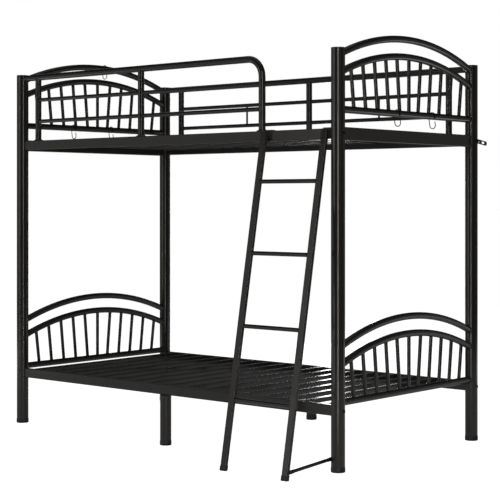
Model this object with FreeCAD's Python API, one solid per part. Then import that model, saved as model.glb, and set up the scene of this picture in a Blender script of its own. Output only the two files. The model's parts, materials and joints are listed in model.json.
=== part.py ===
"""Twin-over-twin steel bunk bed with a hook-on ladder.

Millimetres, +Z up. The bed is drawn about its own centre: X runs along the bed, with the ladder
near the +X end, Y runs from the ladder's side to the wall side, and Z starts at the floor.
Just before export every piece is shifted by the same amount, so that the origin ends up under
the middle of the whole object's bounding box, ladder included.
"""
import FreeCAD, Part
import math
import os

V = FreeCAD.Vector
X_AXIS = V(1, 0, 0)
Y_AXIS = V(0, 1, 0)
Z_AXIS = V(0, 0, 1)

# ---- driving dimensions -------------------------------------------------------------------
POST_X = 982.0            # post axes, half the distance along the bed
POST_Y = 505.0            # post axes, half the distance across the bed
POST_DIAMETER = 57.5
POST_WALL = 1.5
POST_TOP = 1722.0         # top of the post caps
LEG_DIAMETER = 51.0       # the middle legs under the lower deck
FRONT_LEG_X = 8.0
BACK_LEG_X = 46.0

FRAME_TUBE = 30.0         # arches, base tubes and guard rails
FRAME_WALL = 1.2
ARCH_RADIUS = 1293.0
ARCH_STEP = 75.0          # from the inner arch up to the outer one
UPPER_PANEL = {"apex": 1794.0, "base": 1472.0}
LOWER_PANEL = {"apex": 601.0, "base": 280.0}
SPINDLE_DIAMETER = 16.0
SPINDLE_WALL = 1.0
SPINDLES_EACH_SIDE = 5
SPINDLE_FOOT = 69.0       # first leaning spindle, at the base tube
SPINDLE_HEAD = 91.0       # the same spindle, at the inner arch
SPINDLE_PITCH = 82.0

RAIL_THICKNESS = 20.0
RAIL_WALL = 1.5
RAIL_CORNER = 3.0         # outer corner radius of the rectangular tubes
SLAT_CORNER = 2.0
UPPER_DECK_TOP = 1395.0
LOWER_DECK_TOP = 271.0
RAIL_HEIGHT = 45.0
END_BEAM_THICKNESS = 25.0
END_BEAM_BOTTOM = 1346.0
END_BEAM_TOP = 1400.0
SLAT_COUNT = 17
SLAT_PITCH = 112.0
SLAT_WIDTH = 25.0
SLAT_HEIGHT = 20.0
SLAT_WALL = 1.0

GUARD_TOP = 1704.0        # centreline of both top rails
GUARD_BEND_RADIUS = 78.0
GUARD_END_X = 578.0       # the bent end beside the ladder
FRONT_STILES_X = (-863.0, -149.0)
BACK_STILES_X = (-858.0, 31.0, 860.0)
THIN_RAIL_DIAMETER = 19.0
FRONT_THIN_RAILS_Z = (1593.5, 1488.5)
BACK_THIN_RAILS_Z = (1597.5, 1492.5)
THIN_ROD_DIAMETER = 10.0
THIN_RODS_X = (-383.0, 462.0)

LADDER_STILES_X = (610.0, 933.0)
LADDER_SLOPE = 0.186      # how far the ladder runs out for each millimetre it drops
LADDER_TOP = 1392.0
LADDER_TOP_Y = -526.5     # middle of the stiles at their top
STILE_WIDTH = 30.0
STILE_DEPTH = 15.0
STILE_WALL = 1.2
STILE_CORNER = 2.5
PLUG_DEPTH = 12.0         # plastic plugs in the stiles' open tops
PLUG_FLANGE = 2.0
RUNG_DIAMETER = 18.0
RUNGS_Z = (285.0, 583.0, 882.0, 1180.0)
HOOK_WIDTH = 36.0
HOOK_PLATE = 3.0
HOOK_OFFSETS = (13.0, 1.0)        # middle of each hook from the middle of its stile
FRONT_FLANGE_DROP = 35.0
BACK_FLANGE_DROP = 25.0

FOOT_HEIGHT = 20.0
FOOT_FLOOR = 4.0
FOOT_WALL = 1.05
CAP_THICKNESS = 3.0
CAP_SPIGOT = 12.0

BOLT_DIAMETER = 8.0
BOLT_HEAD_DIAMETER = 15.0
BOLT_HEAD_HEIGHT = 4.0
BOLT_REACH = 30.0         # how far a rail bolt goes into its rail
BOLT_SOCKET = 5.0         # hexagon, across its flats
SOCKET_DEPTH = 2.0
SCREW_DIAMETER = 5.0
SCREW_HEAD_DIAMETER = 8.6
SCREW_HEAD_HEIGHT = 3.0
SCREW_LENGTH = 14.0
SCREW_SPREAD = 20.0       # a guard foot's screws, either side of its tube
SCREW_RECESS = (4.4, 1.0, 1.4)    # each arm of the cross: length, width, depth
GUARD_PLATE = (50.0, RAIL_THICKNESS, 3.0)
GUARD_PLATE_CORNER = 5.0

WIRE_DIAMETER = 4.0       # hanging hooks
WIRE_CLEARANCE = 0.5      # between a hook's loop and its tube
HOOK_DROP = 56.0          # from a tube's centreline to the lowest point of a hook
HOOK_BOWL_RADIUS = 14.5
HOOK_TIP_RISE = 15.0
HOOK_LOOP_END = -45.0     # degrees below the horizontal, past the top of the tube
RIGHT_HOOKS_Y = (-88.0, 180.0)
LEFT_HOOKS_Y = (-166.0, 97.0)
ARCH_HOOK_Y = 50.0

STRAP_THICKNESS = 3.0
STRAP_WIDTH = 20.0
STRAP_REACH = 73.0        # from its bolt to the middle of its rounded far end
STRAP_HOLE = (10.0, 15.0)         # the small hole: diameter, distance from the bolt
STRAP_SLOT = (11.0, 43.5, 58.5)   # the long hole: width, distances of its ends' middles
STRAP_DROOP = 7.0         # degrees below level
SPACER = 0.3              # between pieces that turn against each other

STAY_DIAMETER = 14.0
STAY_TAB = 3.0
STAY_TAB_RADIUS = 8.0
STAY_TAB_LENGTH = 20.0
STAY_LADDER_Z = 34.0
STAY_POST_Z = 51.0
STAY_PIN_DIAMETER = 6.0
STAY_HEAD_DIAMETER = 12.0
STAY_HEAD_HEIGHT = 3.5
STAY_SOCKET = 4.0

WELD_GAP = 0.1            # fit-up gap where a tube's end is shaped to its neighbour
HOLE_CLEARANCE = 0.3      # on the radius of a bolt's or screw's hole
PRESS_CLEARANCE = 0.05    # plastic caps and cups on their tubes
OVERRUN = 2.0             # how far a cutting tool passes its work

# ---- worked out from them -----------------------------------------------------------------
POST_RADIUS = POST_DIAMETER / 2
LEG_RADIUS = LEG_DIAMETER / 2
FRAME_RADIUS = FRAME_TUBE / 2
RAIL_HALF = RAIL_THICKNESS / 2
POST_CENTRES = {
    "front_left": (-POST_X, -POST_Y),
    "back_left": (-POST_X, POST_Y),
    "front_right": (POST_X, -POST_Y),
    "back_right": (POST_X, POST_Y),
}
DECKS = {"upper": UPPER_DECK_TOP, "lower": LOWER_DECK_TOP}
SIDES = {"front": -POST_Y, "back": POST_Y}
MIDDLE_LEGS = {"front": FRONT_LEG_X, "back": BACK_LEG_X}
LADDER_LEAN = math.degrees(math.atan(LADDER_SLOPE))


# ---- shapes -------------------------------------------------------------------------------
def rod(start, end, radius):
    """A round bar between two points."""
    run = end - start
    return Part.makeCylinder(radius, run.Length, start, run)


def tube(start, end, radius, wall):
    """A round tube between two points, open at both ends."""
    along = V(end - start).normalize() * OVERRUN
    return rod(start, end, radius).cut(rod(start - along, end + along, radius - wall))


def block(x_span, y_span, z_span):
    """A rectangular block from its three spans."""
    size = [span[1] - span[0] for span in (x_span, y_span, z_span)]
    return Part.makeBox(size[0], size[1], size[2], V(x_span[0], y_span[0], z_span[0]))


def rounded(shape, heading, corner):
    """A block with the edges that run along heading rounded."""
    edges = [edge for edge in shape.Edges
             if abs(abs(edge.tangentAt(edge.FirstParameter).dot(heading)) - 1) < 1e-6]
    return shape.makeFillet(corner, edges)


def block_tube(x_span, y_span, z_span, wall, along, corner):
    """A rectangular tube with rounded corners; along is the axis that it is open on."""
    outer = (x_span, y_span, z_span)
    inner = []
    for axis, span in zip((X_AXIS, Y_AXIS, Z_AXIS), outer):
        shrink = -OVERRUN if axis == along else wall
        inner.append((span[0] + shrink, span[1] - shrink))
    shell = rounded(block(*outer), along, corner)
    return shell.cut(rounded(block(*inner), along, corner - wall))


def about(middle, size):
    """The span of a given size about a middle."""
    return (middle - size / 2, middle + size / 2)


def hexagon(seat, inward, across, depth):
    """A hexagonal socket that starts at seat and goes inward; inward is along X."""
    radius = across / math.sqrt(3)
    corners = [seat + V(0, math.cos(math.radians(turn)), math.sin(math.radians(turn))) * radius
               for turn in range(0, 361, 60)]
    return Part.Face(Part.makePolygon(corners)).extrude(inward * depth)


def one_solid(shape):
    """The largest solid of a cut shape, without the scraps that a through cut leaves."""
    return max(shape.Solids, key=lambda solid: solid.Volume)


def swept(edges, radius, wall=0.0):
    """A round bar or tube along a smooth wire that starts at the first edge's first point."""
    path = Part.Wire(edges)
    start = edges[0].valueAt(edges[0].FirstParameter)
    heading = edges[0].tangentAt(edges[0].FirstParameter)

    def bar(bar_radius):
        ring = Part.Wire([Part.makeCircle(bar_radius, start, heading)])
        return one_solid(path.makePipeShell([ring], True, True))

    return bar(radius).cut(bar(radius - wall)) if wall else bar(radius)


def arch(x, apex, radius, wall=0.0):
    """An arched tube from post axis to post axis, its centreline an arc of ARCH_RADIUS."""
    half_angle = math.degrees(math.asin(POST_Y / ARCH_RADIUS))
    centre = V(x, 0, apex - ARCH_RADIUS)
    lean = math.radians(half_angle)
    start = centre + V(0, -math.sin(lean), math.cos(lean)) * ARCH_RADIUS
    heading = V(0, math.cos(lean), math.sin(lean))
    ring = Part.Face(Part.Wire([Part.makeCircle(radius, start, heading)]))
    if wall:
        ring = ring.cut(Part.Face(Part.Wire([Part.makeCircle(radius - wall, start, heading)])))
    return one_solid(ring.revolve(centre, V(-1, 0, 0), 2 * half_angle))


def ladder_y(z):
    """The middle of the ladder's stiles at a height."""
    return LADDER_TOP_Y - LADDER_SLOPE * (LADDER_TOP - z)


# ---- filled neighbours that tube ends are shaped to ---------------------------------------
def filled_posts():
    floor, top = -OVERRUN, POST_TOP + OVERRUN
    radius = POST_RADIUS + WELD_GAP
    return [rod(V(x, y, floor), V(x, y, top), radius) for x, y in POST_CENTRES.values()]


POSTS_FILLED = filled_posts()


def coped(shape, tools):
    """A tube with its ends shaped to its neighbours."""
    return one_solid(shape.cut(tools))


# ---- posts, caps and feet -----------------------------------------------------------------
def rail_bolt_holes(x, y):
    """The through holes for the rail bolts, along X, one for each deck."""
    radius = BOLT_DIAMETER / 2 + HOLE_CLEARANCE
    reach = POST_RADIUS + OVERRUN
    heights = [top - RAIL_HEIGHT / 2 for top in DECKS.values()]
    return [rod(V(x - reach, y, z), V(x + reach, y, z), radius) for z in heights]


def post(name):
    x, y = POST_CENTRES[name]
    top = POST_TOP - CAP_THICKNESS
    shape = tube(V(x, y, FOOT_FLOOR), V(x, y, top), POST_RADIUS, POST_WALL)
    tools = rail_bolt_holes(x, y)
    if name == "front_right":
        pin = STAY_PIN_DIAMETER / 2 + HOLE_CLEARANCE
        tools.append(rod(V(x - POST_RADIUS - OVERRUN, y, STAY_POST_Z), V(x, y, STAY_POST_Z), pin))
    return one_solid(shape.cut(tools))


def post_caps():
    """A flat disc on top of each post, with a spigot that plugs the tube."""
    spigot = POST_RADIUS - POST_WALL - PRESS_CLEARANCE
    seat = POST_TOP - CAP_THICKNESS
    caps = []
    for x, y in POST_CENTRES.values():
        disc = rod(V(x, y, seat), V(x, y, POST_TOP), POST_RADIUS)
        edge = disc.Edges[0]
        disc = disc.makeFillet(1.0, [edge])
        caps.append(disc.fuse(rod(V(x, y, seat - CAP_SPIGOT), V(x, y, seat), spigot)))
    return [cap.removeSplitter() for cap in caps]


def foot_cup(x, y, radius):
    """A plastic cup on a tube's end, its lower edge rounded."""
    outer = rod(V(x, y, 0), V(x, y, FOOT_HEIGHT), radius + FOOT_WALL)
    outer = outer.makeFillet(1.5, [edge for edge in outer.Edges if edge.BoundBox.ZMax < 0.01])
    bore = rod(V(x, y, FOOT_FLOOR), V(x, y, FOOT_HEIGHT + OVERRUN), radius + PRESS_CLEARANCE)
    return outer.cut(bore)


def feet():
    cups = [foot_cup(x, y, POST_RADIUS) for x, y in POST_CENTRES.values()]
    return cups + [foot_cup(MIDDLE_LEGS[side], SIDES[side], LEG_RADIUS) for side in SIDES]


def middle_leg(side):
    x, y = MIDDLE_LEGS[side], SIDES[side]
    top = LOWER_DECK_TOP - RAIL_HEIGHT - CAP_THICKNESS
    return tube(V(x, y, FOOT_FLOOR), V(x, y, top), LEG_RADIUS, POST_WALL)


def middle_leg_caps():
    """The disc welded on each middle leg, bored for the bolt into the rail."""
    top = LOWER_DECK_TOP - RAIL_HEIGHT
    hole = BOLT_DIAMETER / 2 + HOLE_CLEARANCE
    caps = []
    for side, y in SIDES.items():
        x = MIDDLE_LEGS[side]
        disc = rod(V(x, y, top - CAP_THICKNESS), V(x, y, top), LEG_RADIUS)
        caps.append(disc.cut(rod(V(x, y, top - 2 * CAP_THICKNESS), V(x, y, top + OVERRUN), hole)))
    return caps


def middle_leg_bolts():
    seat = LOWER_DECK_TOP - RAIL_HEIGHT - CAP_THICKNESS
    bolts = []
    for side, y in SIDES.items():
        x = MIDDLE_LEGS[side]
        head = rod(V(x, y, seat - BOLT_HEAD_HEIGHT), V(x, y, seat), BOLT_HEAD_DIAMETER / 2)
        shank = rod(V(x, y, seat), V(x, y, seat + SLAT_HEIGHT), BOLT_DIAMETER / 2)
        bolts.append(head.fuse(shank).removeSplitter())
    return bolts


# ---- end panels ---------------------------------------------------------------------------
def spindle_ends():
    """The Y of each spindle's foot and head: one upright in the middle, the rest leaning out."""
    ends = [(0.0, 0.0)]
    for step in range(SPINDLES_EACH_SIDE):
        foot = SPINDLE_FOOT + step * SPINDLE_PITCH
        head = SPINDLE_HEAD + step * SPINDLE_PITCH
        ends += [(foot, head), (-foot, -head)]
    return ends


def end_panel(x, panel):
    """The welded panel's four kinds of piece: two arches, a base tube and the spindles."""
    apex, base = panel["apex"], panel["base"]
    inner_apex = apex - ARCH_STEP
    ends = (V(x, -POST_Y, base), V(x, POST_Y, base))
    base_tool = rod(ends[0], ends[1], FRAME_RADIUS + WELD_GAP)
    arch_tool = arch(x, inner_apex, FRAME_RADIUS + WELD_GAP)
    spindles = []
    for foot, head in spindle_ends():
        drop = ARCH_RADIUS - math.sqrt(ARCH_RADIUS ** 2 - head ** 2)
        top = V(x, head, inner_apex - drop)
        bar = tube(V(x, foot, base), top, SPINDLE_DIAMETER / 2, SPINDLE_WALL)
        spindles.append(coped(bar, [base_tool, arch_tool]))
    return {
        "top_arch": [coped(arch(x, apex, FRAME_RADIUS, FRAME_WALL), POSTS_FILLED)],
        "inner_arch": [coped(arch(x, inner_apex, FRAME_RADIUS, FRAME_WALL), POSTS_FILLED)],
        "base_tube": [coped(tube(ends[0], ends[1], FRAME_RADIUS, FRAME_WALL), POSTS_FILLED)],
        "spindles": spindles,
    }


# ---- decks --------------------------------------------------------------------------------
def side_rail(deck, side):
    """A rectangular tube between two posts, drilled for what is screwed to it."""
    top, y = DECKS[deck], SIDES[side]
    spans = ((-POST_X, POST_X), about(y, RAIL_THICKNESS), (top - RAIL_HEIGHT, top))
    shape = block_tube(*spans, RAIL_WALL, X_AXIS, RAIL_CORNER)
    tools = list(POSTS_FILLED)
    if deck == "upper":
        radius = SCREW_DIAMETER / 2 + HOLE_CLEARANCE
        for x in guard_screw_xs(side):
            tools.append(rod(V(x, y, top - RAIL_HALF), V(x, y, top + OVERRUN), radius))
    else:
        x, bottom = MIDDLE_LEGS[side], top - RAIL_HEIGHT
        radius = BOLT_DIAMETER / 2 + HOLE_CLEARANCE
        tools.append(rod(V(x, y, bottom - OVERRUN), V(x, y, bottom + RAIL_HALF), radius))
    return coped(shape, tools)


def rail_ends():
    """Each rail end's middle line: where it meets its post, and the way into the rail."""
    for top in DECKS.values():
        for x, y in POST_CENTRES.values():
            yield V(x, y, top - RAIL_HEIGHT / 2), (-1 if x > 0 else 1)


def rail_inserts():
    """Threaded blocks in the rail ends, which the rail bolts screw into."""
    inserts = []
    for centre, inward in rail_ends():
        near = centre.x + inward * (POST_RADIUS - RAIL_HALF)
        far = centre.x + inward * (POST_RADIUS + BOLT_REACH)
        width = RAIL_THICKNESS - 2 * RAIL_WALL - 2 * WELD_GAP
        height = RAIL_HEIGHT - 2 * RAIL_WALL - 2 * WELD_GAP
        body = block((min(near, far), max(near, far)), about(centre.y, width),
                     about(centre.z, height))
        thread = rod(centre, centre + X_AXIS * inward * (POST_RADIUS + BOLT_REACH + OVERRUN),
                     BOLT_DIAMETER / 2 + PRESS_CLEARANCE)
        body = rounded(body, X_AXIS, RAIL_CORNER - RAIL_WALL)
        inserts.append(coped(body, POSTS_FILLED + [thread]))
    return inserts


def rail_bolt(centre, inward, lift):
    """A bolt through a post into its rail, with a low round head lift clear of the post."""
    seat = centre - X_AXIS * inward * (POST_RADIUS + lift)
    tip = centre + X_AXIS * inward * (POST_RADIUS + BOLT_REACH - OVERRUN)
    crown = seat - X_AXIS * inward * BOLT_HEAD_HEIGHT
    head = rod(seat, crown, BOLT_HEAD_DIAMETER / 2)
    rim = [edge for edge in head.Edges if abs(edge.CenterOfMass.x - crown.x) < 0.01]
    head = head.makeFillet(2.0, rim[:1])
    head = head.cut(hexagon(crown, X_AXIS * inward, BOLT_SOCKET, SOCKET_DEPTH))
    return head.fuse(rod(seat, tip, BOLT_DIAMETER / 2)).removeSplitter()


def is_anchor_end(centre):
    """The upper deck's back right corner, where the wall anchor hangs under the bolt's head."""
    return centre.x > 0 and centre.y > 0 and centre.z > LOWER_DECK_TOP


def rail_bolts():
    """One bolt for each rail end; the one that holds the wall anchor stands clear of its strap."""
    anchor_lift = STRAP_THICKNESS + 2 * SPACER
    return [rail_bolt(centre, inward, anchor_lift if is_anchor_end(centre) else PRESS_CLEARANCE)
            for centre, inward in rail_ends()]


def slats(deck):
    """Square-cut tubes across the deck, their tops level with the rails' tops."""
    top = DECKS[deck]
    reach = POST_Y - RAIL_HALF - WELD_GAP
    first = -(SLAT_COUNT - 1) / 2 * SLAT_PITCH
    return [block_tube(about(first + step * SLAT_PITCH, SLAT_WIDTH), (-reach, reach),
                       (top - SLAT_HEIGHT, top), SLAT_WALL, Y_AXIS, SLAT_CORNER)
            for step in range(SLAT_COUNT)]


def end_beam(x):
    """The deep rectangular tube under each upper panel."""
    shape = block_tube(about(x, END_BEAM_THICKNESS), (-POST_Y, POST_Y),
                       (END_BEAM_BOTTOM, END_BEAM_TOP), FRAME_WALL, Y_AXIS, RAIL_CORNER)
    return coped(shape, POSTS_FILLED)


# ---- guard rails --------------------------------------------------------------------------
def guard_feet_xs(side):
    return FRONT_STILES_X + (GUARD_END_X,) if side == "front" else BACK_STILES_X


def guard_screw_xs(side):
    return [x + way * SCREW_SPREAD for x in guard_feet_xs(side) for way in (-1, 1)]


def front_guard_edges():
    """The bent rail's centreline, from the left post along the top and down to the side rail."""
    y = SIDES["front"]
    corner = GUARD_END_X - GUARD_BEND_RADIUS
    half = GUARD_BEND_RADIUS * math.sin(math.radians(45))
    middle = V(corner + half, y, GUARD_TOP - GUARD_BEND_RADIUS + half)
    bend_start = V(corner, y, GUARD_TOP)
    bend_end = V(GUARD_END_X, y, GUARD_TOP - GUARD_BEND_RADIUS)
    foot = V(GUARD_END_X, y, UPPER_DECK_TOP + GUARD_PLATE[2])
    return [Part.makeLine(V(-POST_X, y, GUARD_TOP), bend_start),
            Part.Arc(bend_start, middle, bend_end).toShape(),
            Part.makeLine(bend_end, foot)]


def guard_stile(x, side, top_rail):
    y = SIDES[side]
    foot = V(x, y, UPPER_DECK_TOP + GUARD_PLATE[2])
    return coped(tube(foot, V(x, y, GUARD_TOP), FRAME_RADIUS, FRAME_WALL), [top_rail])


def thin_rails(side, heights):
    """Thin rails in spans between the stiles, each end shaped to its stile."""
    y = SIDES[side]
    xs = guard_feet_xs(side)
    tools = [rod(V(x, y, UPPER_DECK_TOP), V(x, y, GUARD_TOP), FRAME_RADIUS + WELD_GAP)
             for x in xs]
    rails = []
    for z in heights:
        for start, end in zip(xs, xs[1:]):
            bar = tube(V(start, y, z), V(end, y, z), THIN_RAIL_DIAMETER / 2, SPINDLE_WALL)
            rails.append(coped(bar, tools))
    return rails


def thin_rods():
    """Upright rods between the two thin rails of the back guard."""
    y = SIDES["back"]
    high, low = BACK_THIN_RAILS_Z
    tools = [rod(V(-POST_X, y, z), V(POST_X, y, z), THIN_RAIL_DIAMETER / 2 + WELD_GAP)
             for z in BACK_THIN_RAILS_Z]
    return [coped(rod(V(x, y, low), V(x, y, high), THIN_ROD_DIAMETER / 2), tools)
            for x in THIN_RODS_X]


def guard_plates():
    """The foot plate under each guard tube, with two screw holes."""
    length, width, thickness = GUARD_PLATE
    top = UPPER_DECK_TOP + thickness
    radius = SCREW_DIAMETER / 2 + HOLE_CLEARANCE
    plates = []
    for side, y in SIDES.items():
        for x in guard_feet_xs(side):
            plate = block(about(x, length), about(y, width), (UPPER_DECK_TOP, top))
            plate = rounded(plate, Z_AXIS, GUARD_PLATE_CORNER)
            holes = [rod(V(x + way * SCREW_SPREAD, y, UPPER_DECK_TOP - OVERRUN),
                         V(x + way * SCREW_SPREAD, y, top + OVERRUN), radius)
                     for way in (-1, 1)]
            plates.append(plate.cut(holes))
    return plates


def guard_screws():
    """Pan-head screws with a cross recess."""
    seat = UPPER_DECK_TOP + GUARD_PLATE[2]
    crown = seat + SCREW_HEAD_HEIGHT
    long, wide, deep = SCREW_RECESS
    screws = []
    for side, y in SIDES.items():
        for x in guard_screw_xs(side):
            head = Part.makeCone(SCREW_HEAD_DIAMETER / 2, SCREW_HEAD_DIAMETER / 3,
                                 SCREW_HEAD_HEIGHT, V(x, y, seat), Z_AXIS)
            shank = rod(V(x, y, seat - SCREW_LENGTH), V(x, y, seat), SCREW_DIAMETER / 2)
            cross = [block(about(x, run), about(y, span), (crown - deep, crown + deep))
                     for run, span in ((long, wide), (wide, long))]
            screws.append(head.fuse(shank).removeSplitter().cut(cross))
    return screws


# ---- ladder -------------------------------------------------------------------------------
def leaning_prism(x, width, depth, bottom, top, corner):
    """A rectangular bar along the ladder's lean, cut level at its bottom and its top."""
    cut_heights = (bottom - STILE_WIDTH, top + STILE_WIDTH)
    rise = (cut_heights[1] - cut_heights[0]) / math.cos(math.radians(LADDER_LEAN))
    bar = rounded(Part.makeBox(width, depth, rise, V(-width / 2, -depth / 2, 0)), Z_AXIS, corner)
    bar.rotate(V(0, 0, 0), X_AXIS, -LADDER_LEAN)
    bar.translate(V(x, ladder_y(cut_heights[0]), cut_heights[0]))
    room = block(about(x, 3 * STILE_WIDTH), (-2 * POST_Y, 0), (bottom, top))
    return bar.common(room)


def ladder_stile(x, drilled):
    bottom = FOOT_FLOOR
    shell = leaning_prism(x, STILE_WIDTH, STILE_DEPTH, bottom, LADDER_TOP, STILE_CORNER)
    bore = leaning_prism(x, STILE_WIDTH - 2 * STILE_WALL, STILE_DEPTH - 2 * STILE_WALL,
                         bottom - OVERRUN, LADDER_TOP + OVERRUN, STILE_CORNER - STILE_WALL)
    shape = shell.cut(bore)
    if drilled:
        start = V(x, ladder_y(STAY_LADDER_Z), STAY_LADDER_Z)
        pin = STAY_PIN_DIAMETER / 2 + PRESS_CLEARANCE
        shape = shape.cut(rod(start, start + X_AXIS * STILE_WIDTH, pin))
    return one_solid(shape)


def ladder_rungs():
    near = LADDER_STILES_X[0] + STILE_WIDTH / 2 + WELD_GAP
    far = LADDER_STILES_X[1] - STILE_WIDTH / 2 - WELD_GAP
    return [tube(V(near, ladder_y(z), z), V(far, ladder_y(z), z), RUNG_DIAMETER / 2, FRAME_WALL)
            for z in RUNGS_Z]


def ladder_hooks():
    """A saddle behind the top of each stile that drops over the front side rail."""
    y = SIDES["front"]
    inner = RAIL_HALF + SPACER
    outer = inner + HOOK_PLATE
    top = UPPER_DECK_TOP + SPACER
    hooks = []
    for stile_x, offset in zip(LADDER_STILES_X, HOOK_OFFSETS):
        span = about(stile_x + offset, HOOK_WIDTH)
        web = block(span, (y - outer, y + outer), (top, top + HOOK_PLATE))
        front = block(span, (y - outer, y - inner), (top - FRONT_FLANGE_DROP, top))
        back = block(span, (y + inner, y + outer), (top - BACK_FLANGE_DROP, top))
        hooks.append(web.fuse([front, back]).removeSplitter())
    return hooks


def ladder_feet():
    """Plastic shoes on the stiles, level on the floor and leaning with the ladder."""
    shoes = []
    for x in LADDER_STILES_X:
        outer = leaning_prism(x, STILE_WIDTH + 3 * FOOT_WALL, STILE_DEPTH + 3 * FOOT_WALL,
                              0, FOOT_HEIGHT, STILE_CORNER + FOOT_WALL)
        bore = leaning_prism(x, STILE_WIDTH + 2 * PRESS_CLEARANCE,
                             STILE_DEPTH + 2 * PRESS_CLEARANCE,
                             FOOT_FLOOR, FOOT_HEIGHT + OVERRUN, STILE_CORNER)
        shoes.append(one_solid(outer.cut(bore)))
    return shoes


def ladder_plugs():
    """Plastic plugs that close the stiles' tops, each with a thin flange on the tube's end."""
    plugs = []
    for x in LADDER_STILES_X:
        snug = 2 * (STILE_WALL + PRESS_CLEARANCE)
        body = leaning_prism(x, STILE_WIDTH - snug, STILE_DEPTH - snug,
                             LADDER_TOP - PLUG_DEPTH, LADDER_TOP, STILE_CORNER - STILE_WALL)
        flange = leaning_prism(x, STILE_WIDTH, STILE_DEPTH,
                               LADDER_TOP, LADDER_TOP + PLUG_FLANGE, STILE_CORNER)
        plugs.append(body.fuse(flange).removeSplitter())
    return plugs


# ---- the stay between the ladder's foot and the post --------------------------------------
def stay_plane():
    """The X span of the stay's flat ends: they lie against the post's side."""
    face = POST_X - POST_RADIUS
    return (face - STAY_TAB - PRESS_CLEARANCE, face - PRESS_CLEARANCE)


def stay_pins():
    """Where the stay is held: the ladder's stud and the post's bolt."""
    middle = sum(stay_plane()) / 2
    return (V(middle, ladder_y(STAY_LADDER_Z), STAY_LADDER_Z), V(middle, -POST_Y, STAY_POST_Z))


def stay_bar():
    """A round bar with flattened ends; the ladder end has a slot that is open upwards."""
    ladder_pin, post_pin = stay_pins()
    span = stay_plane()
    run = V(post_pin - ladder_pin).normalize()
    bar_ends = (ladder_pin + run * STAY_TAB_LENGTH, post_pin - run * STAY_TAB_LENGTH)
    shape = rod(bar_ends[0], bar_ends[1], STAY_DIAMETER / 2)
    lean = math.degrees(math.atan2(run.z, run.y))
    for pin, way in ((ladder_pin, 1), (post_pin, -1)):
        reach = way * (STAY_TAB_LENGTH + STAY_TAB_RADIUS)
        strip = block(span, (min(0, reach), max(0, reach)), (-STAY_TAB_RADIUS, STAY_TAB_RADIUS))
        eye = rod(V(span[0], 0, 0), V(span[1], 0, 0), STAY_TAB_RADIUS)
        tab = strip.fuse(eye)
        tab.rotate(V(0, 0, 0), X_AXIS, lean)
        tab.translate(V(0, pin.y, pin.z))
        shape = shape.fuse(tab)
    hole = STAY_PIN_DIAMETER / 2 + HOLE_CLEARANCE
    wide = about(ladder_pin.x, 2 * STAY_DIAMETER)
    for pin in (ladder_pin, post_pin):
        shape = shape.cut(rod(V(wide[0], pin.y, pin.z), V(wide[1], pin.y, pin.z), hole))
    slot = block(wide, about(ladder_pin.y, 2 * hole),
                 (ladder_pin.z, ladder_pin.z + 2 * STAY_TAB_RADIUS))
    return one_solid(shape.cut(slot).removeSplitter())


def stay_post_bolt():
    pin = stay_pins()[1]
    face = stay_plane()[0] - PRESS_CLEARANCE
    crown = V(face - STAY_HEAD_HEIGHT, pin.y, pin.z)
    head = rod(crown, V(face, pin.y, pin.z), STAY_HEAD_DIAMETER / 2)
    head = head.cut(hexagon(crown, X_AXIS, STAY_SOCKET, SOCKET_DEPTH))
    shank = rod(V(face, pin.y, pin.z), V(POST_X - POST_RADIUS / 2, pin.y, pin.z),
                STAY_PIN_DIAMETER / 2)
    return head.fuse(shank).removeSplitter()


def ladder_stay_stud():
    """A headed stud in the right stile; its collar keeps the stay off the stile."""
    pin = stay_pins()[0]
    face = LADDER_STILES_X[1] + STILE_WIDTH / 2
    near, far = stay_plane()

    def disc(start, end, radius):
        return rod(V(start, pin.y, pin.z), V(end, pin.y, pin.z), radius)

    shank = disc(face - STILE_WIDTH / 3, far + SPACER + STAY_HEAD_HEIGHT, STAY_PIN_DIAMETER / 2)
    collar = disc(face + PRESS_CLEARANCE, near - SPACER, STAY_HEAD_DIAMETER / 2)
    head = disc(far + SPACER, far + SPACER + STAY_HEAD_HEIGHT, STAY_HEAD_DIAMETER / 2)
    crown = V(far + SPACER + STAY_HEAD_HEIGHT, pin.y, pin.z)
    stud = shank.fuse([collar, head]).removeSplitter()
    return stud.cut(hexagon(crown, -X_AXIS, STAY_SOCKET, SOCKET_DEPTH))


# ---- small hardware -----------------------------------------------------------------------
def wire_hook(x, y, z):
    """A wire hook that hangs on a tube along Y, turned so that it hangs in balance."""
    loop = FRAME_RADIUS + WIRE_CLEARANCE + WIRE_DIAMETER / 2
    bowl_z = -(HOOK_DROP - WIRE_DIAMETER / 2 - HOOK_BOWL_RADIUS)
    bowl_x = HOOK_BOWL_RADIUS - loop
    dip = math.radians(HOOK_LOOP_END)
    loop_start = V(loop * math.cos(dip), 0, loop * math.sin(dip))
    loop_end = V(-loop, 0, 0)
    bowl_start = V(-loop, 0, bowl_z)
    bowl_end = V(bowl_x + HOOK_BOWL_RADIUS, 0, bowl_z)
    path = [Part.Arc(loop_start, V(0, 0, loop), loop_end).toShape(),
            Part.makeLine(loop_end, bowl_start),
            Part.Arc(bowl_start, V(bowl_x, 0, bowl_z - HOOK_BOWL_RADIUS), bowl_end).toShape(),
            Part.makeLine(bowl_end, bowl_end + Z_AXIS * HOOK_TIP_RISE)]
    shape = swept(path, WIRE_DIAMETER / 2)
    balance = shape.CenterOfMass
    shape.rotate(V(0, 0, 0), Y_AXIS, math.degrees(math.atan2(balance.x, -balance.z)))
    shape.translate(V(x, y, z))
    return shape


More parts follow.
